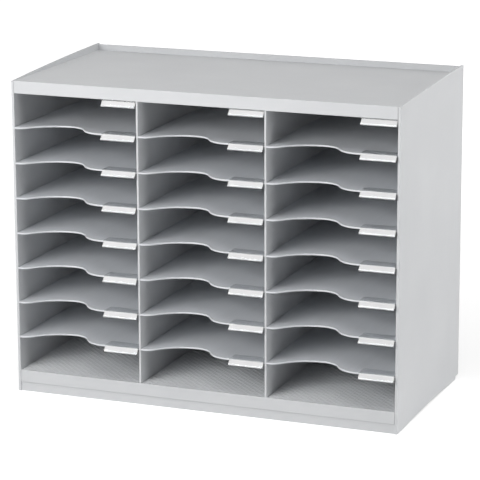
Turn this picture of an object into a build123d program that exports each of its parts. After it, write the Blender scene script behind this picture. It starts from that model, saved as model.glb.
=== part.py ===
from build123d import *
from math import cos, radians, sin, tan
import os

# A document sorter for A4 sheets: an upright cabinet of moulded plastic panels, divided into
# columns of compartments by shelves that slide in grooves and pull out at the front.
# Frame: X runs across the width, Y from front to rear and Z up. The origin is on the floor,
# under the middle of the overall box. All sizes are in millimetres.

# Cabinet
overall_width = 674.0
cabinet_depth = 340.0
front_height = 533.0
rear_rise = 11.6
column_count = 3
row_count = 8

# Upright panels
side_thickness = 4.6
side_crown = 1.5
divider_thickness = 3.4
edge_round = 0.8

# Underside of the side panels
foot_length = 40.0
foot_relief = 2.5
notch_depth = 15.0
notch_height = 5.5

# Top panel and base panel
plate_thickness = 4.0
fascia_thickness = 4.0
top_fascia_height = 21.0
base_fascia_height = 21.0
fascia_end_gap = 0.25
flange_depth = 20.0
flange_thickness = 3.0
skirt_thickness = 3.0
tongue_depth = 1.2
tongue_setback = 6.0
tongue_gap = 0.1

# Plinth
plinth_height = 16.0
plinth_setback = 2.5
plinth_thickness = 4.0
plinth_end_gap = 0.2
rib_thickness = 2.0
rib_height = 10.0

# Back panel
back_thickness = 3.0
back_inset = 2.5
back_top_drop = 1.2
back_gap = 0.2

# Pegs that locate the top and base panels between the side panels
peg_diameter = 6.0
peg_gap = 0.1
peg_inset = 60.0

# Screws of the back panel
screw_spread = 120.0
screw_diameter = 2.4
screw_length = 12.0
screw_head_diameter = 6.4
screw_head_height = 2.2
screw_head_round = 0.8
screw_slot_length = 3.4
screw_slot_width = 0.8
screw_slot_depth = 1.0
screw_gap = 0.1
screw_hole_room = 0.5
screw_tip_gap = 1.0
boss_diameter = 8.0
boss_end = 1.0

# Shelves
shelf_thickness = 3.0
shelf_edge_round = 0.9
groove_depth = 1.0
shelf_side_gap = 0.3
shelf_top_gap = 0.2
shelf_rear_gap = 0.5

# Finger recess in a shelf's front edge, between the left wall and the label holder
recess_start = 5.0
recess_tail = 67.0
recess_label_gap = 6.0
recess_depth = 40.0
recess_lead_share = 0.2
recess_tail_share = 0.43

# Label holders
label_width = 60.0
label_wall_gap = 0.5
label_tilt = 34.0
label_height = 12.5
label_plate = 1.0
leaf_thickness = 0.8
clip_gap = 0.05
upper_leaf_depth = 26.0
leaf_bevel = 6.0
leaf_edge = 0.25
lower_leaf_depth = 9.0
card_slot = 0.7
lip_thickness = 0.5
lip_height = 1.8
bead_thickness = 1.2
bead_height = 3.4
bead_round = 0.5
slot_end = 1.0

# Label holders under the top fascia
hanger_setback = 3.0
hanger_leaf_depth = 16.0
hanger_drop = 0.8
pin_diameter = 3.0
pin_gap = 0.1
pin_inset = 12.0

# Places that follow from the sizes above
rear_height = front_height + rear_rise
tilt = radians(label_tilt)
lip_reach = card_slot + lip_thickness
bead_reach = card_slot + bead_thickness
bead_forward = (label_height - bead_round) * sin(tilt) + (bead_reach - bead_round) * cos(tilt)
label_reach = leaf_thickness + bead_forward + bead_round
front_y = (label_reach - cabinet_depth) / 2
rear_y = front_y + cabinet_depth
back_rear_y = rear_y - back_inset
back_front_y = back_rear_y - back_thickness

inner_half = overall_width / 2 - side_thickness
divider_total = (column_count - 1) * divider_thickness
column_width = (2 * inner_half - divider_total) / column_count
column_pitch = column_width + divider_thickness
column_lefts = [-inner_half + column_pitch * index for index in range(column_count)]
divider_lefts = [left - divider_thickness for left in column_lefts[1:]]

ceiling_z = front_height - top_fascia_height
top_under_z = front_height - plate_thickness
floor_z = plinth_height + base_fascia_height
base_under_z = floor_z - plate_thickness
row_clear = (ceiling_z - floor_z - (row_count - 1) * shelf_thickness) / row_count
row_pitch = row_clear + shelf_thickness
shelf_tops = [ceiling_z - row_clear - row_pitch * index for index in range(row_count - 1)]

top_skirt_z = (ceiling_z + top_under_z) / 2
base_skirt_z = (plinth_height + base_under_z) / 2
peg_ys = [front_y + peg_inset, back_front_y - peg_inset]
screw_xs = [
    left + column_width / 2 + side * screw_spread / 2 for left in column_lefts for side in (-1, 1)
]
skirt_front_y = back_front_y - skirt_thickness
screw_hole_depth = screw_length - back_thickness + screw_tip_gap
boss_length = screw_hole_depth - skirt_thickness + boss_end

low_corner = (Align.MIN, Align.MIN, Align.MIN)


def label_left(wall_left):
    """Left end of a compartment's label holder."""
    return wall_left + column_width - label_wall_gap - label_width


pin_y = front_y + hanger_setback + hanger_leaf_depth / 2
pin_xs = [
    label_left(left) + offset for left in column_lefts for offset in (pin_inset, label_width - pin_inset)
]


def block(low, high, mode=Mode.ADD):
    """A box between two opposite corners."""
    size = [b - a for a, b in zip(low, high)]
    with Locations(low):
        Box(*size, align=low_corner, mode=mode)


def side_top(y):
    """Height of the straight line under a side panel's crowned top edge."""
    return front_height + (rear_height - front_height) * (y - front_y) / cabinet_depth


def cut_shelf_grooves(inner_x, outer_x):
    """Cuts one groove for each shelf, open at the front, into the wall being built."""
    for top in shelf_tops:
        low = (min(inner_x, outer_x), front_y, top - shelf_thickness)
        high = (max(inner_x, outer_x), back_front_y, top + shelf_top_gap)
        block(low, high, Mode.SUBTRACT)


def side_outline():
    """A side panel seen from its side: crowned top, two feet and a notch at the lower rear."""
    middle_y = (front_y + rear_y) / 2
    notch_y = rear_y - notch_depth
    rear_foot_y = notch_y - foot_length
    front_foot_y = front_y + foot_length
    with BuildLine() as outline:
        ThreePointArc(
            (front_y, front_height),
            (middle_y, side_top(middle_y) + side_crown),
            (rear_y, rear_height),
        )
        Polyline(
            (rear_y, rear_height),
            (rear_y, notch_height),
            (notch_y, notch_height),
            (notch_y, 0),
            (rear_foot_y, 0),
        )
        ThreePointArc(
            (rear_foot_y, 0), ((rear_foot_y + front_foot_y) / 2, foot_relief), (front_foot_y, 0)
        )
        Polyline((front_foot_y, 0), (front_y, 0), (front_y, front_height))
    return outline.edges()


def build_side_panel(side, label):
    """A side panel. side is -1 for the left one and 1 for the right one."""
    inner_x = side * inner_half
    outer_x = side * overall_width / 2
    groove_x = inner_x + side * groove_depth
    peg_direction = (-side, 0, 0)
    with BuildPart() as panel:
        with BuildSketch(Plane.YZ.offset(min(inner_x, outer_x))):
            make_face(side_outline())
        extrude(amount=side_thickness)
        outer_face = panel.faces().sort_by(Axis.X)[0 if side < 0 else -1]
        inner_face = panel.faces().sort_by(Axis.X)[-1 if side < 0 else 0]
        front_edge = inner_face.edges().sort_by(Axis.Y)[0]
        fillet(outer_face.edges() + front_edge, edge_round)
        cut_shelf_grooves(inner_x, groove_x)
        block(
            (min(inner_x, groove_x), back_front_y, plinth_height),
            (max(inner_x, groove_x), back_rear_y + back_gap, rear_height + side_crown),
            Mode.SUBTRACT,
        )
        peg_planes = [
            Plane(origin=(inner_x, y, z), z_dir=peg_direction)
            for y in peg_ys
            for z in (top_skirt_z, base_skirt_z)
        ]
        with Locations(*peg_planes):
            Cylinder(
                peg_diameter / 2,
                skirt_thickness,
                align=(Align.CENTER, Align.CENTER, Align.MIN),
            )
    panel.part.label = label
    return panel.part


def build_divider(left_x, label):
    """An upright partition, tongued into the base and top panels, grooved on both faces."""
    right_x = left_x + divider_thickness
    tongue_front_y = front_y + tongue_setback + tongue_gap
    flange_rear_y = front_y + flange_depth + tongue_gap
    skirt_y = skirt_front_y - tongue_gap
    with BuildPart() as divider:
        with BuildSketch(Plane.YZ.offset(left_x)):
            with BuildLine():
                Polyline(
                    (front_y, floor_z),
                    (tongue_front_y, floor_z),
                    (tongue_front_y, floor_z - tongue_depth),
                    (back_front_y, floor_z - tongue_depth),
                    (back_front_y, ceiling_z),
                    (skirt_y, ceiling_z),
                    (skirt_y, top_under_z + tongue_depth),
                    (flange_rear_y, top_under_z + tongue_depth),
                    (flange_rear_y, ceiling_z),
                    (front_y, ceiling_z),
                    close=True,
                )
            make_face()
        extrude(amount=divider_thickness)
        front_face = divider.faces().sort_by(Axis.Y)[0]
        fillet(front_face.edges().filter_by(Axis.Z), edge_round)
        cut_shelf_grooves(left_x, left_x + groove_depth)
        cut_shelf_grooves(right_x, right_x - groove_depth)
    divider.part.label = label
    return divider.part


def cut_peg_holes(z):
    """Cuts the holes of the side panels' pegs through the end skirts of a panel."""
    length = 2 * inner_half
    with Locations(*[Plane(origin=(0, y, z), z_dir=(1, 0, 0)) for y in peg_ys]):
        Cylinder(peg_diameter / 2 + peg_gap, length, mode=Mode.SUBTRACT)


def add_screw_bosses(z):
    """Adds the bosses of the back panel's screws to a rear skirt, and drills them."""
    with Locations(*[Plane(origin=(x, skirt_front_y, z), z_dir=(0, -1, 0)) for x in screw_xs]):
        Cylinder(boss_diameter / 2, boss_length, align=(Align.CENTER, Align.CENTER, Align.MIN))
    with Locations(*[Plane(origin=(x, back_front_y, z), z_dir=(0, 1, 0)) for x in screw_xs]):
        Hole(screw_diameter / 2 + screw_gap, depth=screw_hole_depth)


def cut_fascia_ends(low_z, high_z):
    """Cuts a narrow gap between each end of a panel's front fascia and the side panel beside it."""
    for side in (-1, 1):
        end_x = side * inner_half
        gap_x = end_x - side * fascia_end_gap
        block(
            (min(end_x, gap_x), front_y, low_z),
            (max(end_x, gap_x), front_y + fascia_thickness, high_z),
            Mode.SUBTRACT,
        )


def build_top_panel():
    """The top panel: a plate with a front fascia, a return flange and hidden skirts."""
    skirt_x = inner_half - skirt_thickness
    with BuildPart() as panel:
        block((-inner_half, front_y, ceiling_z), (inner_half, back_front_y, front_height))
        block(
            (-skirt_x, front_y + flange_depth, ceiling_z),
            (skirt_x, skirt_front_y, top_under_z),
            Mode.SUBTRACT,
        )
        block(
            (-skirt_x, front_y + fascia_thickness, ceiling_z + flange_thickness),
            (skirt_x, front_y + flange_depth, top_under_z),
            Mode.SUBTRACT,
        )
        cut_fascia_ends(ceiling_z, front_height)
        front_face = panel.faces().sort_by(Axis.Y)[0]
        fillet(front_face.edges(), edge_round)
        for left in divider_lefts:
            block(
                (left - tongue_gap, front_y + flange_depth, top_under_z),
                (left + divider_thickness + tongue_gap, skirt_front_y, top_under_z + tongue_depth),
                Mode.SUBTRACT,
            )
        cut_peg_holes(top_skirt_z)
        add_screw_bosses(top_skirt_z)
        with Locations(*[(x, pin_y, ceiling_z) for x in pin_xs]):
            Cylinder(pin_diameter / 2 + pin_gap, 2 * flange_thickness, mode=Mode.SUBTRACT)
    panel.part.label = "top_panel"
    return panel.part


def build_base_panel():
    """The base panel: the lowest compartments' floor, its front fascia and hidden skirts."""
    skirt_x = inner_half - skirt_thickness
    rib_y = front_y + plinth_setback + plinth_thickness
    with BuildPart() as panel:
        block((-inner_half, front_y, plinth_height), (inner_half, back_front_y, floor_z))
        block(
            (-skirt_x, front_y + fascia_thickness, plinth_height),
            (skirt_x, skirt_front_y, base_under_z),
            Mode.SUBTRACT,
        )
        cut_fascia_ends(plinth_height, floor_z)
        front_face = panel.faces().sort_by(Axis.Y)[0]
        fillet(front_face.edges(), edge_round)
        block(
            (-skirt_x, rib_y, base_under_z - rib_height),
            (skirt_x, rib_y + rib_thickness, base_under_z),
        )
        for left in divider_lefts:
            block(
                (left - tongue_gap, front_y + tongue_setback, floor_z - tongue_depth),
                (left + divider_thickness + tongue_gap, back_front_y, floor_z),
                Mode.SUBTRACT,
            )
        cut_peg_holes(base_skirt_z)
        add_screw_bosses(base_skirt_z)
    panel.part.label = "base_panel"
    return panel.part


def build_plinth():
    """The plinth strip: it stands on the floor and its thin upper half is held behind the base fascia."""
    strip_y = front_y + plinth_setback
    strip_rear_y = strip_y + plinth_thickness
    upper_x = inner_half - skirt_thickness - plinth_end_gap
    with BuildPart() as plinth:
        block((-inner_half, strip_y, 0), (inner_half, strip_rear_y, plinth_height))
        block(
            (-upper_x, front_y + fascia_thickness, plinth_height),
            (upper_x, strip_rear_y, base_under_z),
        )
    plinth.part.label = "plinth"
    return plinth.part


def build_back_panel():
    """The back panel: it slides in grooves of the side panels and stands above the top panel."""
    half = inner_half + groove_depth - shelf_side_gap
    back_top_z = side_top(back_front_y) - back_top_drop
    with BuildPart() as panel:
        block((-half, back_front_y, plinth_height), (half, back_rear_y, back_top_z))
        fillet(panel.faces().sort_by(Axis.Z)[-1].edges().filter_by(Axis.X), edge_round)
        for z in (top_skirt_z, base_skirt_z):
            with Locations(*[Plane(origin=(x, back_rear_y, z), z_dir=(0, 1, 0)) for x in screw_xs]):
                Hole(screw_diameter / 2 + screw_hole_room, depth=back_thickness)
    panel.part.label = "back_panel"
    return panel.part


def build_back_screws():
    """The pan-head screws of the back panel, with cross slots, as one group."""
    up = (Align.CENTER, Align.CENTER, Align.MIN)
    down = (Align.CENTER, Align.CENTER, Align.MAX)
    seats = [
        Plane(origin=(x, back_rear_y, z), z_dir=(0, 1, 0))
        for x in screw_xs
        for z in (top_skirt_z, base_skirt_z)
    ]
    tops = [seat.offset(screw_head_height) for seat in seats]
    with BuildPart() as screws:
        with Locations(*seats):
            Cylinder(screw_head_diameter / 2, screw_head_height, align=up)
        crowns = screws.faces().filter_by(Axis.Y).group_by(Axis.Y)[-1]
        fillet(crowns.edges(), screw_head_round)
        with Locations(*seats):
            Cylinder(screw_diameter / 2, screw_length, align=down)
        with Locations(*tops):
            Box(screw_slot_length, screw_slot_width, screw_slot_depth, align=down, mode=Mode.SUBTRACT)
            Box(screw_slot_width, screw_slot_length, screw_slot_depth, align=down, mode=Mode.SUBTRACT)
    screws.part.label = "back_screws"
    return screws.part


def shelf_outline(wall_left):
    """A shelf seen from above: a rectangle whose front edge sweeps back as a finger recess."""
    overlap = groove_depth - shelf_side_gap
    left = wall_left - overlap
    right = wall_left + column_width + overlap
    rear = back_front_y - shelf_rear_gap
    start = Vector(wall_left + recess_start, front_y)
    end = Vector(label_left(wall_left) - recess_label_gap, front_y)
    crest = Vector(end.X - recess_tail, front_y + recess_depth)
    lead_bend = start + (crest - start) * recess_lead_share
    tail_bend = crest + (end - crest) * recess_tail_share
    with BuildLine() as outline:
        Line((left, front_y), start)
        lead_in = TangentArc(start, lead_bend, tangent=(1, 0))
        TangentArc(lead_bend, crest, tangent=lead_in % 1)
        lead_out = TangentArc(crest, tail_bend, tangent=(1, 0))
        TangentArc(tail_bend, end, tangent=lead_out % 1)
        Polyline(end, (right, front_y), (right, rear), (left, rear), (left, front_y))
    return outline.edges()


def build_shelf(wall_left, top, label):
    """One shelf: a flat sheet, rounded along its front edge."""
    with BuildPart() as shelf:
        with BuildSketch(Plane.XY.offset(top - shelf_thickness)):
            make_face(shelf_outline(wall_left))
        extrude(amount=shelf_thickness)
        flat_faces = shelf.faces().filter_by(Axis.Z)
        rim = flat_faces.edges()
        front_rim = rim.filter_by_position(Axis.Y, front_y, front_y + recess_depth)
        fillet(front_rim, shelf_edge_round)
    shelf.part.label = label
    return shelf.part


def on_plate(corner, down, out):
    """A point of a holder's section, given down the tilted plate and out from its face."""
    y = corner[0] - down * sin(tilt) - out * cos(tilt)
    z = corner[1] - down * cos(tilt) + out * sin(tilt)
    return (y, z)


def plate_points(corner):
    """The tilted plate, with a lip above its card and a bead below, from top edge to lower rear edge."""
    level = lip_reach * tan(tilt)
    return [
        on_plate(corner, level, lip_reach),
        on_plate(corner, lip_height, lip_reach),
        on_plate(corner, lip_height, card_slot),
        on_plate(corner, slot_end, card_slot),
        on_plate(corner, slot_end, 0),
        on_plate(corner, label_height - slot_end, 0),
        on_plate(corner, label_height - slot_end, card_slot),
        on_plate(corner, label_height - bead_height, card_slot),
        on_plate(corner, label_height - bead_height, bead_reach),
        on_plate(corner, label_height, bead_reach),
        on_plate(corner, label_height, -label_plate),
    ]


def round_beads(holders):
    """Rounds the beads, whose front faces stand furthest out from the tilted plates."""
    outwards = Axis((0, 0, 0), (0, -cos(tilt), sin(tilt)))
    fronts = holders.faces().group_by(outwards)[-1]
    fillet(fronts.edges(), bead_round)


def build_label_holder(wall_left, top, label):
    """A clip over a shelf's front edge: two leaves, and a tilted plate that holds a card."""
    bottom = top - shelf_thickness
    wall_y = front_y - leaf_thickness
    corner = (wall_y, top + leaf_thickness)
    plate_root = on_plate(corner, label_plate / tan(tilt), -label_plate)
    upper_y = front_y + upper_leaf_depth
    lower_y = front_y + lower_leaf_depth
    section = [
        (upper_y, top + clip_gap),
        (upper_y, top + leaf_edge),
        (upper_y - leaf_bevel, top + leaf_thickness),
    ]
    section += plate_points(corner)
    section += [
        plate_root,
        (wall_y, bottom - leaf_thickness),
        (lower_y, bottom - leaf_thickness),
        (lower_y, bottom - clip_gap),
        (front_y - clip_gap, bottom - clip_gap),
        (front_y - clip_gap, top + clip_gap),
    ]
    with BuildPart() as holder:
        with BuildSketch(Plane.YZ.offset(label_left(wall_left))):
            with BuildLine():
                Polyline(*section, close=True)
            make_face()
        extrude(amount=label_width)
        round_beads(holder)
    holder.part.label = label
    return holder.part


def build_top_label_holders():
    """The holders under the top fascia, each pinned to the flange, as one group."""
    leaf_y = front_y + hanger_setback
    rear_leaf_y = leaf_y + hanger_leaf_depth
    neck_y = leaf_y + leaf_thickness
    corner = (leaf_y, ceiling_z - hanger_drop)
    root_down = (label_plate * cos(tilt) - leaf_thickness) / sin(tilt)
    section = [(rear_leaf_y, ceiling_z), (leaf_y, ceiling_z), corner]
    section += plate_points(corner)
    section += [
        on_plate(corner, root_down, -label_plate),
        (neck_y, ceiling_z - leaf_thickness),
        (rear_leaf_y, ceiling_z - leaf_thickness),
    ]
    with BuildPart() as holders:
        for wall_left in column_lefts:
            with BuildSketch(Plane.YZ.offset(label_left(wall_left))):
                with BuildLine():
                    Polyline(*section, close=True)
                make_face()
            extrude(amount=label_width)
        round_beads(holders)
        with Locations(*[(x, pin_y, ceiling_z) for x in pin_xs]):
            Cylinder(
                pin_diameter / 2,
                flange_thickness,
                align=(Align.CENTER, Align.CENTER, Align.MIN),
            )
    holders.part.label = "top_label_holders"
    return holders.part


pieces = [
    build_side_panel(-1, "left_side_panel"),
    build_side_panel(1, "right_side_panel"),
    build_top_panel(),
    build_base_panel(),
    build_plinth(),
    build_back_panel(),
    build_back_screws(),
    build_top_label_holders(),
]
for number, left_x in enumerate(divider_lefts, start=1):
    pieces.append(build_divider(left_x, f"divider_{number}"))
for column, wall_left in enumerate(column_lefts, start=1):
    for row, top in enumerate(shelf_tops, start=1):
        place = f"column_{column}_row_{row}"
        pieces.append(build_shelf(wall_left, top, f"{place}_shelf"))
        pieces.append(build_label_holder(wall_left, top, f"{place}_label_holder"))

os.makedirs("parts", exist_ok=True)
for piece in pieces:
    export_step(piece, f"parts/{piece.label}.step")

print(f"compartments {column_width:.1f} wide and {row_clear:.1f} high")
print(f"overall depth {cabinet_depth + label_reach:.1f}, label holders reach {label_reach:.1f} forward")
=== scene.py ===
# %% [markdown]
# A document sorter of grey plastic
#
# The real object is an office sorter for the A4 format: a cabinet of moulded panels with three columns
# of open compartments, and 21 flat shelves that pull out at the front. Its solids come from CAD and are
# loaded here as a fixed frame. They could be modelled again in Blender, but then the sizes and the
# moving bodies would drift apart, so this script only adds what the solids lack: finishes, the diamond
# pattern of the lowest floors, the cards in the label holders, and a small studio to see them in.

# %% Load the frame
import math

import bpy
from mathutils import Matrix, Vector


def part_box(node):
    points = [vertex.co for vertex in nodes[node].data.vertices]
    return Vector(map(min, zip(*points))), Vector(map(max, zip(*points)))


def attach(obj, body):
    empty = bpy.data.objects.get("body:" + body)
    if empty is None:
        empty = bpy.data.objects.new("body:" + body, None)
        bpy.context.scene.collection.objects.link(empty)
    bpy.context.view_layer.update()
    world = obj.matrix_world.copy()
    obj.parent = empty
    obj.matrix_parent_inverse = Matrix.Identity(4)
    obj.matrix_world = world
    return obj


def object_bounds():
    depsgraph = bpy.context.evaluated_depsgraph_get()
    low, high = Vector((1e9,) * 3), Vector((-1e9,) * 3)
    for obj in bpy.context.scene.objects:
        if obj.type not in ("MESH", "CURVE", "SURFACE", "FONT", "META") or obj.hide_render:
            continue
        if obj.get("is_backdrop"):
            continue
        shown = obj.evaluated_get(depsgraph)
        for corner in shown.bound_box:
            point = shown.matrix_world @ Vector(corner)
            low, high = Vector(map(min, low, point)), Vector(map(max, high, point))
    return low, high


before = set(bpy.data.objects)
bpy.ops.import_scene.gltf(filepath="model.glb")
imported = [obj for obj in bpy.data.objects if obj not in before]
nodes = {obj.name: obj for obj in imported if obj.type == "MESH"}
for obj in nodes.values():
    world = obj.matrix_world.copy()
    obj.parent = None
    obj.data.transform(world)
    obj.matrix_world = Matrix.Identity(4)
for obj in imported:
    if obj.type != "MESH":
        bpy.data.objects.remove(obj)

to_mm = 1000
cad_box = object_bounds()

# %% [markdown]
# Camera
#
# The picture to match was taken with a long lens from the front right, a little above the sorter, so
# its uprights stay nearly parallel. A camera could be aimed with a Track To constraint, but a place
# and three angles are easier to read back. The angles turn the camera about the upright axis, then
# tip it down, then roll it. The lens has no shift, so that the other views stay centred.

# %% Place the camera
camera_place = Vector((1.4807, -3.7359, 1.2366))
camera_yaw = math.radians(21.59)
camera_pitch = math.radians(13.74)
camera_roll = math.radians(-0.21)
camera_lens, camera_sensor = 184.06, 36.0

camera = bpy.data.objects.new("camera", bpy.data.cameras.new("camera"))
camera.data.sensor_width = camera_sensor
camera.data.lens = camera_lens
turn = Matrix.Rotation(camera_yaw, 4, "Z")
tip = Matrix.Rotation(math.pi / 2 - camera_pitch, 4, "X")
roll = Matrix.Rotation(camera_roll, 4, "Z")
camera.matrix_world = Matrix.Translation(camera_place) @ turn @ tip @ roll
bpy.context.scene.collection.objects.link(camera)
bpy.context.scene.camera = camera
print(f"camera {camera_place.length:.2f} m from the sorter's foot, lens {camera_lens} mm")

# %% [markdown]
# Building node trees
#
# Finishes and Geometry Nodes are both trees of nodes. Linking each pair of sockets by hand would take
# pages, so one short helper adds a node, sets its options and feeds its inputs, either with a value or
# with another node's output. Each tree below then reads from top to bottom like a recipe. An input is
# named, or numbered where several share a name. Two more helpers stand for the nodes that do sums.

# %% Helpers for node trees
def feed(tree, node, inputs):
    """Feeds a node's inputs with values or with other nodes' outputs."""
    for name, value in inputs.items():
        if isinstance(value, bpy.types.NodeSocket):
            tree.links.new(value, node.inputs[name])
        else:
            node.inputs[name].default_value = value


def step(tree, kind, inputs=None, **options):
    """Adds a node, sets its options and feeds its inputs."""
    made = tree.nodes.new(kind)
    for name, value in options.items():
        setattr(made, name, value)
    feed(tree, made, inputs or {})
    return made


def work_out(tree, operation, a, b=0.0):
    """The output of one Math node."""
    return step(tree, "ShaderNodeMath", {0: a, 1: b}, operation=operation).outputs[0]


def carry_over(tree, value, source, target, **options):
    """A value that is carried over from one range to another."""
    ranges = {1: source[0], 2: source[1], 3: target[0], 4: target[1]}
    return step(tree, "ShaderNodeMapRange", {0: value, **ranges}, **options).outputs[0]


print("helpers ready: feed, step, work_out, carry_over")

# %% [markdown]
# Studio
#
# The sorter stands on a plain white sweep, and only a faint shadow ties it to the ground. A white floor
# could be had by flooding the set with light, but that would wash the sorter out. Instead the floor
# and the world look brighter to the rays that are seen, in the camera, in gloss or through clear
# plastic, and light the sorter at a lower, plain level. The lamps brighten the floor round the sorter,
# so its own glow is weaker there.

# %% Helpers for the studio
def new_finish(name):
    """A material with its node tree, its shader and the piece's own coordinates in metres."""
    material = bpy.data.materials.new(name)
    material.use_nodes = True
    tree = material.node_tree
    place = step(tree, "ShaderNodeTexCoord").outputs["Object"]
    return material, tree, tree.nodes["Principled BSDF"], place


def seen_rays(tree):
    """1 for a ray that shows the background to the eye, else 0."""
    before_first_bounce = 0.5
    path = step(tree, "ShaderNodeLightPath").outputs
    direct = work_out(tree, "MAXIMUM", path["Is Camera Ray"], path["Is Glossy Ray"])
    clear = work_out(tree, "MAXIMUM", direct, path["Is Transmission Ray"])
    unscattered = work_out(tree, "LESS_THAN", path["Diffuse Depth"], before_first_bounce)
    return work_out(tree, "MULTIPLY", clear, unscattered)


print("helpers ready: new_finish, seen_rays")

# %% Floor
white = (1, 1, 1, 1)
floor_half = 14.0
lit_ground, ground_glow = (0.5, 2.2), (0.72, 1.0)

floor_mesh = bpy.data.meshes.new("studio_floor")
floor_corners = [(x * floor_half, y * floor_half, 0) for x, y in ((-1, -1), (1, -1), (1, 1), (-1, 1))]
floor_mesh.from_pydata(floor_corners, [], [(0, 1, 2, 3)])
floor = bpy.data.objects.new("studio_floor", floor_mesh)
bpy.context.scene.collection.objects.link(floor)

floor_paper, tree, shader, place = new_finish("floor_paper")
away = step(tree, "ShaderNodeVectorMath", {0: place}, operation="LENGTH").outputs["Value"]
glow = carry_over(tree, away, lit_ground, ground_glow, interpolation_type="SMOOTHSTEP")
feed(tree, shader, {
    "Base Color": (0.55, 0.55, 0.55, 1),
    "Roughness": 0.9,
    "Specular IOR Level": 0.0,
    "Emission Color": white,
    "Emission Strength": work_out(tree, "MULTIPLY", seen_rays(tree), glow),
})
floor_mesh.materials.append(floor_paper)
floor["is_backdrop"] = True
print(f"floor {2 * floor_half:.0f} m across")

# %% World
room_light = 0.06

world = bpy.data.worlds.new("white_room")
bpy.context.scene.world = world
world.use_nodes = True
room_tree = world.node_tree
room_extra = work_out(room_tree, "MULTIPLY", seen_rays(room_tree), 1.0 - room_light)
room_level = work_out(room_tree, "ADD", room_extra, room_light)
feed(room_tree, room_tree.nodes["Background"], {"Color": white, "Strength": room_level})
bpy.context.scene.view_settings.view_transform = "Standard"
print(f"room light {room_light}")

# %% [markdown]
# Lamps
#
# In the studio, a soft box stands in front of the sorter, a little to the left, and looks into the
# compartments, so they darken softly towards the back. A larger, weaker one close by softens its
# shadows. Another lights the right side, and two more hang over the front and behind the sorter, for
# the top, the ground and the back. Area lamps do the same as soft boxes. A point lamp or a sun would
# draw hard shadows into every compartment.

# %% Soft boxes
sorter_middle = Vector((0, 0, 0.27))


def soft_box(name, place, size, watts):
    """A square area lamp at a place, turned towards the middle of the sorter."""
    data = bpy.data.lights.new(name, "AREA")
    data.size = size
    data.energy = watts
    lamp = bpy.data.objects.new(name, data)
    lamp.location = place
    lamp.rotation_euler = (sorter_middle - Vector(place)).to_track_quat("-Z", "Y").to_euler()
    bpy.context.scene.collection.objects.link(lamp)
    return lamp


lamps = [
    soft_box("front_box", place=(-0.87, -2.68, 1.28), size=1.5, watts=48),
    soft_box("near_box", place=(-0.65, -2.01, 0.80), size=2.5, watts=10),
    soft_box("right_box", place=(4.48, -0.23, 0.58), size=1.5, watts=97),
    soft_box("upper_box", place=(0.00, -1.90, 4.35), size=2.5, watts=40),
    soft_box("rear_box", place=(1.50, 3.21, 3.04), size=2.25, watts=60),
]
print(f"{len(lamps)} soft boxes, {sum(lamp.data.energy for lamp in lamps):.0f} W in all")

# %% [markdown]
# Patterns for the finishes
#
# Plastic, steel and card all look alive through small unevenness. A photograph of each could be wrapped
# round the pieces, but a pattern worked out in space needs no unwrapping and never repeats. So every
# finish starts from a noise, which then sets a tone, a gloss or a grain.

# %% Helpers for patterns
noise_range = (0.3, 0.7)


def speckle(tree, place, scale, detail=2.0):
    """A noise from 0 to 1, mostly within the noise range. Its scale is in features per metre."""
    inputs = {"Vector": place, "Scale": scale, "Detail": detail}
    return step(tree, "ShaderNodeTexNoise", inputs).outputs["Fac"]


def stretched(tree, place, scale):
    """Coordinates that draw a pattern out along an axis where the scale is below 1."""
    return step(tree, "ShaderNodeMapping", {"Vector": place, "Scale": scale}).outputs["Vector"]


def between(tree, noise, low, high):
    """Spreads a noise over a range."""
    return carry_over(tree, noise, noise_range, (low, high))


def tone(tree, noise, dark, light):
    """A colour between two tones."""
    ramp = step(tree, "ShaderNodeValToRGB", {"Fac": noise})
    for number, colour in enumerate((dark, light)):
        ramp.color_ramp.elements[number].position = noise_range[number]
        ramp.color_ramp.elements[number].color = (*colour, 1)
    return ramp.outputs["Color"]


def raise_grain(tree, height, depth, strength):
    """A bump from a height of 0 to 1 that stands for a depth in metres."""
    inputs = {"Height": height, "Distance": depth, "Strength": strength}
    return step(tree, "ShaderNodeBump", inputs).outputs["Normal"]


print("helpers ready: speckle, stretched, between, tone, raise_grain")

# %% [markdown]
# Moulded plastic of the cabinet
#
# The panels are light grey moulded plastic with the fine, even grain that a spark-eroded mould leaves.
# One flat grey would do from far off, but close by it looks like paint. So a broad noise shifts the
# tone a little, as pigment does, a middle one changes the gloss, and a fine one raises the grain. The
# back is a plainer sheet, a shade darker.

# %% Cabinet finish
plastic_ior = 1.49


def plastic(name, dark, light, rough, grain_scale, grain_depth):
    """Moulded plastic: a slight drift in tone, uneven gloss and a fine grain."""
    material, tree, shader, place = new_finish(name)
    pigment = speckle(tree, place, scale=7.0, detail=3.0)
    polish = speckle(tree, place, scale=240.0)
    grain = speckle(tree, place, scale=grain_scale, detail=3.0)
    feed(tree, shader, {
        "Base Color": tone(tree, pigment, dark, light),
        "Roughness": between(tree, polish, *rough),
        "Normal": raise_grain(tree, grain, grain_depth, strength=0.35),
        "IOR": plastic_ior,
    })
    return material


cabinet_grey = plastic(
    "cabinet_grey",
    dark=(0.665, 0.675, 0.690),
    light=(0.705, 0.715, 0.728),
    rough=(0.42, 0.54),
    grain_scale=1900.0,
    grain_depth=0.00006,
)
back_grey = plastic(
    "back_grey",
    dark=(0.570, 0.580, 0.594),
    light=(0.610, 0.620, 0.633),
    rough=(0.46, 0.58),
    grain_scale=1500.0,
    grain_depth=0.00005,
)
print("cabinet finishes:", cabinet_grey.name, back_grey.name)

# %% [markdown]
# Sheet plastic of the shelves
#
# The shelves are cut from smooth sheet, a shade lighter, cooler and shinier than the panels. Sheet is
# drawn through rollers, so its faint streaks run one way, here from front to rear. The panels' recipe
# has no direction, so this one draws its noise out along the streaks, and leaves the surface almost flat.

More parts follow.
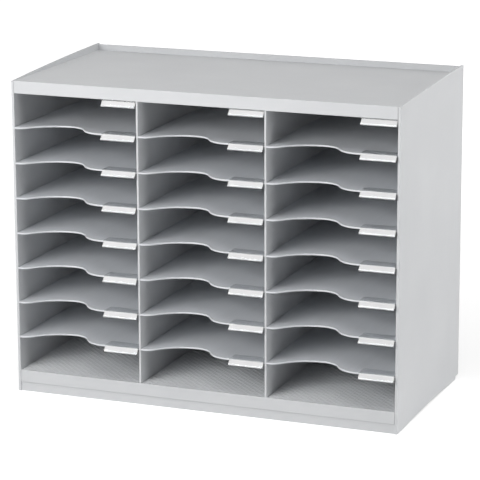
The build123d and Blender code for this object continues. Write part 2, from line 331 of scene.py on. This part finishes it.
# %% Shelf finish
shelf_grey, tree, shader, place = new_finish("shelf_grey")
streak = speckle(tree, stretched(tree, place, scale=(1.0, 0.04, 1.0)), scale=160.0, detail=3.0)
sheet_grain = speckle(tree, place, scale=2600.0)
feed(tree, shader, {
    "Base Color": tone(tree, streak, dark=(0.740, 0.760, 0.788), light=(0.770, 0.790, 0.818)),
    "Roughness": between(tree, streak, low=0.36, high=0.44),
    "Normal": raise_grain(tree, sheet_grain, depth=0.00003, strength=0.25),
    "IOR": plastic_ior,
})
print("shelf finish:", shelf_grey.name)

# %% [markdown]
# Clear plastic of the label holders
#
# Each holder is a clip of clear plastic, drawn as one long profile and cut to length. It could be faked
# with a see-through white, but real transmission bends what lies behind the bead, and at a flat angle
# the upper leaf mirrors the dark compartment, as the real one does. Rays towards a lamp don't bend, so
# clear plastic would throw a full shadow. For those rays alone the holder is plainly see-through.

# %% Holder finish
shadow_tint = (0.83, 0.84, 0.85, 1)

holder_clear, tree, shader, place = new_finish("holder_clear")
haze = speckle(tree, place, scale=420.0)
waves = speckle(tree, place, scale=300.0)
feed(tree, shader, {
    "Base Color": tone(tree, haze, dark=(0.93, 0.94, 0.95), light=(0.97, 0.975, 0.98)),
    "Roughness": between(tree, haze, low=0.03, high=0.09),
    "Normal": raise_grain(tree, waves, depth=0.00002, strength=0.2),
    "IOR": plastic_ior,
    "Transmission Weight": 1.0,
})
lamp_ray = step(tree, "ShaderNodeLightPath").outputs["Is Shadow Ray"]
see_through = step(tree, "ShaderNodeBsdfTransparent", {"Color": shadow_tint}).outputs[0]
passing = step(tree, "ShaderNodeMixShader", {0: lamp_ray, 1: shader.outputs[0], 2: see_through}).outputs[0]
feed(tree, tree.nodes["Material Output"], {"Surface": passing})
print("holder finish:", holder_clear.name)

# %% [markdown]
# Steel of the screws
#
# The back panel is held by small zinc-plated screws. A plain grey metal would look polished, but zinc
# has a blotchy shine, so both the tone and the gloss follow a noise of about a millimetre, and the
# shader is all metal.

# %% Screw finish
screw_zinc, tree, shader, place = new_finish("screw_zinc")
bloom = speckle(tree, place, scale=900.0, detail=4.0)
feed(tree, shader, {
    "Base Color": tone(tree, bloom, dark=(0.50, 0.51, 0.52), light=(0.66, 0.66, 0.66)),
    "Roughness": between(tree, bloom, low=0.26, high=0.46),
    "Normal": raise_grain(tree, bloom, depth=0.00003, strength=0.3),
    "Metallic": 1.0,
})
print("screw finish:", screw_zinc.name)

# %% [markdown]
# Dressing the solids
#
# A CAD piece whose shape is right stays as it is and only takes a finish. The finishes could be given
# out piece by piece, but each piece's name says what it is, so a short rule picks the finish, and no
# piece is missed.

# %% Give each solid its finish
def finish_for(name):
    """The finish of a CAD piece, by its name."""
    if name.endswith("label_holder") or name == "top_label_holders":
        return holder_clear
    if name.endswith("shelf"):
        return shelf_grey
    if name == "back_screws":
        return screw_zinc
    if name == "back_panel":
        return back_grey
    return cabinet_grey


dressed = {}
for name, piece in nodes.items():
    finish = finish_for(name)
    piece.data.materials.clear()
    piece.data.materials.append(finish)
    dressed[finish.name] = dressed.get(finish.name, 0) + 1
print("dressed:", dressed)

# %% [markdown]
# Growing pieces with Geometry Nodes
#
# What repeats could be put together by a loop, corner by corner. A node tree says the same in fewer
# words: it works on a few loose points, one for each place, and its inputs are its sizes. When the tree
# has run, its result is kept as a plain mesh and the modifier goes.

# %% Helpers that build a tree
def new_tree(name, inputs):
    """A Geometry Nodes tree with named inputs. Returns the tree, its inputs' outputs and its end."""
    tree = bpy.data.node_groups.new(name, "GeometryNodeTree")
    tree.interface.new_socket("Geometry", in_out="INPUT", socket_type="NodeSocketGeometry")
    for label, kind in inputs.items():
        tree.interface.new_socket(label, in_out="INPUT", socket_type="NodeSocket" + kind)
    tree.interface.new_socket("Geometry", in_out="OUTPUT", socket_type="NodeSocketGeometry")
    return tree, step(tree, "NodeGroupInput").outputs, step(tree, "NodeGroupOutput")


def vector(tree, x, y=0.0, z=0.0):
    """A vector from three numbers."""
    return step(tree, "ShaderNodeCombineXYZ", {0: x, 1: y, 2: z}).outputs[0]


def joined(tree, parts):
    """Several geometries as one."""
    join = step(tree, "GeometryNodeJoinGeometry")
    for part in parts:
        tree.links.new(part, join.inputs[0])
    return join.outputs[0]


def close_tree(tree, geometry, material, end):
    """Makes instances real, gives them their finish and ends the tree."""
    real = step(tree, "GeometryNodeRealizeInstances", {"Geometry": geometry}).outputs[0]
    painted = step(tree, "GeometryNodeSetMaterial", {"Geometry": real, "Material": material}).outputs[0]
    feed(tree, end, {0: painted})


print("helpers ready: new_tree, vector, joined, close_tree")

# %% A helper that runs a tree
def grow(name, points, tree, sizes):
    """Runs a tree on loose points and returns the result as a plain mesh object at the origin."""
    seeds = bpy.data.meshes.new(name + "_seeds")
    seeds.from_pydata(points, [], [])
    piece = bpy.data.objects.new(name, seeds)
    bpy.context.scene.collection.objects.link(piece)
    modifier = piece.modifiers.new("grow", "NODES")
    modifier.node_group = tree
    for item in tree.interface.items_tree:
        if item.in_out == "INPUT" and item.name in sizes:
            modifier[item.identifier] = sizes[item.name]
    evaluated = piece.evaluated_get(bpy.context.evaluated_depsgraph_get())
    mesh = bpy.data.meshes.new_from_object(evaluated)
    mesh.name = name
    piece.modifiers.remove(modifier)
    piece.data = mesh
    bpy.data.meshes.remove(seeds)
    return piece


print("helper ready: grow")

# %% [markdown]
# Diamond pattern on the lowest floors
#
# The floors of the lowest compartments have low crossed ribs that make small diamonds, so that nothing
# laid on them clings. A bump texture would be lighter, but ribs of real height catch the light at the
# flat angle from which the floor is seen. Each rib is a slim prism with sloping flanks. It is
# stretched to the length that its diagonal has inside the floor, so none runs past an edge.

# %% The rib tree: where each rib lies
rib_inputs = {
    "Floor Width": "Float",
    "Floor Depth": "Float",
    "Spacing": "Float",
    "Rib Width": "Float",
    "Rib Height": "Float",
    "Finish": "Material",
}
half, diagonal = 0.5, math.sqrt(2)

rib_tree, given, end = new_tree("diamond_ribs", rib_inputs)
width, depth, spacing = given["Floor Width"], given["Floor Depth"], given["Spacing"]
reach = work_out(rib_tree, "ADD", width, depth)
count = work_out(rib_tree, "FLOOR", work_out(rib_tree, "DIVIDE", reach, spacing))
index = step(rib_tree, "GeometryNodeInputIndex").outputs[0]
along = work_out(rib_tree, "MULTIPLY", work_out(rib_tree, "ADD", index, half), spacing)
first_x = work_out(rib_tree, "MAXIMUM", work_out(rib_tree, "SUBTRACT", along, depth), 0.0)
last_x = work_out(rib_tree, "MINIMUM", along, width)
middle_x = work_out(rib_tree, "MULTIPLY", work_out(rib_tree, "ADD", first_x, last_x), half)
middle_y = work_out(rib_tree, "SUBTRACT", along, middle_x)
length = work_out(rib_tree, "MULTIPLY", work_out(rib_tree, "SUBTRACT", last_x, first_x), diagonal)
print("the rib tree takes:", ", ".join(rib_inputs))

# %% The rib tree: the shape of a rib
ridge_share = 0.4

bar_size = vector(rib_tree, 1.0, given["Rib Width"], given["Rib Height"])
bar = step(rib_tree, "GeometryNodeMeshCube", {"Size": bar_size}).outputs["Mesh"]
corner = step(rib_tree, "GeometryNodeInputPosition").outputs[0]
corner_x, corner_y, corner_z = step(rib_tree, "ShaderNodeSeparateXYZ", {0: corner}).outputs
upper = step(rib_tree, "FunctionNodeCompare", {0: corner_z, 1: 0.0}, operation="GREATER_THAN").outputs[0]
ridge = vector(rib_tree, corner_x, work_out(rib_tree, "MULTIPLY", corner_y, ridge_share), corner_z)
sloping = {"Geometry": bar, "Selection": upper, "Position": ridge}
prism = step(rib_tree, "GeometryNodeSetPosition", sloping).outputs[0]
print(f"a rib's ridge has {ridge_share:.0%} of its width")

# %% The rib tree: two families that cross
families = []
for mirrored, turn_deg in ((False, -45), (True, 45)):
    rib_x = work_out(rib_tree, "SUBTRACT", width, middle_x) if mirrored else middle_x
    line = step(rib_tree, "GeometryNodeMeshLine", {"Count": count}).outputs[0]
    rib_middle = vector(rib_tree, rib_x, middle_y)
    spots = step(rib_tree, "GeometryNodeSetPosition", {"Geometry": line, "Position": rib_middle}).outputs[0]
    family = step(rib_tree, "GeometryNodeInstanceOnPoints", {
        "Points": spots,
        "Instance": prism,
        "Rotation": (0, 0, math.radians(turn_deg)),
        "Scale": vector(rib_tree, length, 1.0, 1.0),
    })
    families.append(family.outputs[0])
crossed = joined(rib_tree, families)
floors = step(rib_tree, "GeometryNodeInstanceOnPoints", {"Points": given["Geometry"], "Instance": crossed})
close_tree(rib_tree, floors.outputs[0], given["Finish"], end)
print(f"rib tree: {len(rib_tree.nodes)} nodes")

# %% Lay the ribs
column_numbers = range(1, 4)
shelf_in_groove = 0.0007
wall_margin, front_margin, rear_margin = 0.0015, 0.005, 0.002
rib_spacing, rib_width, rib_height, rib_sunk = 0.0115, 0.0022, 0.0008, 0.0001

floor_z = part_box("base_panel")[1].z
front_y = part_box("divider_1")[0].y
rear_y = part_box("back_panel")[0].y
column_lefts, column_rights = [], []
for number in column_numbers:
    low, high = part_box(f"column_{number}_row_1_shelf")
    column_lefts.append(low.x + shelf_in_groove)
    column_rights.append(high.x - shelf_in_groove)
rib_z = floor_z - rib_sunk + rib_height / 2
corners = [(left + wall_margin, front_y + front_margin, rib_z) for left in column_lefts]
floor_ribs = grow("floor_ribs", corners, rib_tree, {
    "Floor Width": column_rights[0] - column_lefts[0] - 2 * wall_margin,
    "Floor Depth": rear_y - front_y - front_margin - rear_margin,
    "Spacing": rib_spacing,
    "Rib Width": rib_width,
    "Rib Height": rib_height,
    "Finish": cabinet_grey,
})
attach(floor_ribs, "cabinet")
print(f"floor ribs: {len(floor_ribs.data.polygons)} faces")

# %% [markdown]
# White card
#
# The labels are plain strips of uncoated white card. A clean white would look like plastic, but card is
# matt and a little fibrous, so a noise that is drawn out sideways stands for the fibres, and hardly any
# gloss is left.

# %% Card finish
label_card, tree, shader, place = new_finish("label_card")
fibre = speckle(tree, stretched(tree, place, scale=(0.25, 1.0, 1.0)), scale=2400.0, detail=4.0)
feed(tree, shader, {
    "Base Color": tone(tree, fibre, dark=(0.775, 0.775, 0.772), light=(0.825, 0.825, 0.822)),
    "Roughness": between(tree, fibre, low=0.78, high=0.92),
    "Normal": raise_grain(tree, fibre, depth=0.00004, strength=0.3),
    "Specular IOR Level": 0.25,
})
print("card finish:", label_card.name)

# %% [markdown]
# Label cards
#
# A card lies in each holder, tilted with its plate, behind the upper lip and the bead. The cards could
# be drawn one by one, but they are all alike. So a tree cuts one card with rounded corners and sets it
# on every point, with a little sideways play, because cards that are pushed in by hand are never all in
# line. Each shelf's card is a mesh of its own, so that it goes along when the shelf is pulled out.

# %% The card tree: the shape of a card
card_inputs = {
    "Card Width": "Float",
    "Card Height": "Float",
    "Card Thickness": "Float",
    "Corner Radius": "Float",
    "Lean": "Float",
    "Sideways Play": "Float",
    "Seed": "Int",
    "Finish": "Material",
}
corner_steps = 3
merge_distance = 0.000001

card_tree, given, end = new_tree("label_cards", card_inputs)
sides = {"Width": given["Card Width"], "Height": given["Card Height"]}
outline = step(card_tree, "GeometryNodeCurvePrimitiveQuadrilateral", sides).outputs[0]
rounding = {"Curve": outline, "Count": corner_steps, "Radius": given["Corner Radius"]}
rounded = step(card_tree, "GeometryNodeFilletCurve", rounding, mode="POLY").outputs[0]
blank = step(card_tree, "GeometryNodeFillCurve", {"Curve": rounded}, mode="NGONS").outputs[0]
raising = {"Mesh": blank, "Offset Scale": given["Card Thickness"], "Individual": False}
raised = step(card_tree, "GeometryNodeExtrudeMesh", raising, mode="FACES").outputs["Mesh"]
under = step(card_tree, "GeometryNodeFlipFaces", {"Mesh": blank}).outputs[0]
closing = {"Geometry": joined(card_tree, [raised, under]), "Distance": merge_distance}
card = step(card_tree, "GeometryNodeMergeByDistance", closing).outputs[0]
print("the card tree takes:", ", ".join(card_inputs))

# %% The card tree: a card on every point
most = given["Sideways Play"]
least = work_out(card_tree, "MULTIPLY", most, -1.0)
drawing = {2: least, 3: most, "Seed": given["Seed"]}
shift = step(card_tree, "FunctionNodeRandomValue", drawing, data_type="FLOAT").outputs[1]
shifting = {"Geometry": given["Geometry"], "Offset": vector(card_tree, shift)}
card_spots = step(card_tree, "GeometryNodeSetPosition", shifting).outputs[0]
lean = vector(card_tree, given["Lean"])
setting = {"Points": card_spots, "Instance": card, "Rotation": lean}
cards = step(card_tree, "GeometryNodeInstanceOnPoints", setting).outputs[0]
close_tree(card_tree, cards, given["Finish"], end)
print(f"card tree: {len(card_tree.nodes)} nodes")

# %% Where the cards lie
plate_tilt = math.radians(34)
slot_top, slot_bottom = 0.0010, 0.0115
card_width, card_thickness, card_corner = 0.0594, 0.00035, 0.0008
card_play, card_room, card_lift = 0.0003, 0.0002, 0.00005

down_plate = Vector((0, -math.sin(plate_tilt), -math.cos(plate_tilt)))
off_plate = Vector((0, -math.cos(plate_tilt), math.sin(plate_tilt)))


def card_middle(column, plate_top_y, plate_top_z):
    """Where the middle of a card lies on its plate, close to the holder's left end."""
    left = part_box(f"column_{column}_row_1_label_holder")[0].x
    plate_top = Vector((left + card_play + card_width / 2, plate_top_y, plate_top_z))
    return plate_top + down_plate * (slot_top + slot_bottom) / 2 + off_plate * card_lift


card_height = slot_bottom - slot_top - card_room
print(f"cards {to_mm * card_width:.1f} x {to_mm * card_height:.1f} mm")

# %% Put a card into each holder
row_numbers = range(1, 8)
leaf_thickness = 0.0008
hanger_setback, hanger_drop = 0.003, 0.0008
top_row_seed, seeds_per_column = 1, 10


def grow_cards(name, points, body, seed):
    """The cards of one body."""
    piece = grow(name, points, card_tree, {
        "Card Width": card_width,
        "Card Height": card_height,
        "Card Thickness": card_thickness,
        "Corner Radius": card_corner,
        "Lean": math.pi / 2 - plate_tilt,
        "Sideways Play": card_play,
        "Seed": seed,
        "Finish": label_card,
    })
    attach(piece, body)
    return piece


ceiling_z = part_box("top_panel")[0].z
hanger_y, hanger_z = front_y + hanger_setback, ceiling_z - hanger_drop
top_row = [card_middle(column, hanger_y, hanger_z) for column in column_numbers]
made = [grow_cards("top_row_cards", top_row, "cabinet", top_row_seed)]
for column in column_numbers:
    for row in row_numbers:
        body = f"column_{column}_row_{row}_shelf"
        shelf_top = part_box(body)[1].z
        point = card_middle(column, front_y - leaf_thickness, shelf_top + leaf_thickness)
        seed = seeds_per_column * column + row
        made.append(grow_cards(f"column_{column}_row_{row}_card", [point], body, seed))
print(f"{len(made)} card pieces, {len(made[0].data.polygons)} faces in the first")

# %% [markdown]
# How far the new pieces reach
#
# This prints, in millimetres, how far the pieces made here reach past the solids at each side of their box.
# The pieces made here must not make the sorter larger than its solids.

# %% Sizes and end
new_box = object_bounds()
boxes = {"cad": [list(corner) for corner in cad_box], "visual": [list(corner) for corner in new_box]}
cad_edges, new_edges = sum(boxes["cad"], []), sum(boxes["visual"], [])
growth = [round(to_mm * (abs(new) - abs(old)), 2) for old, new in zip(cad_edges, new_edges)]
print("grown by mm:", growth)
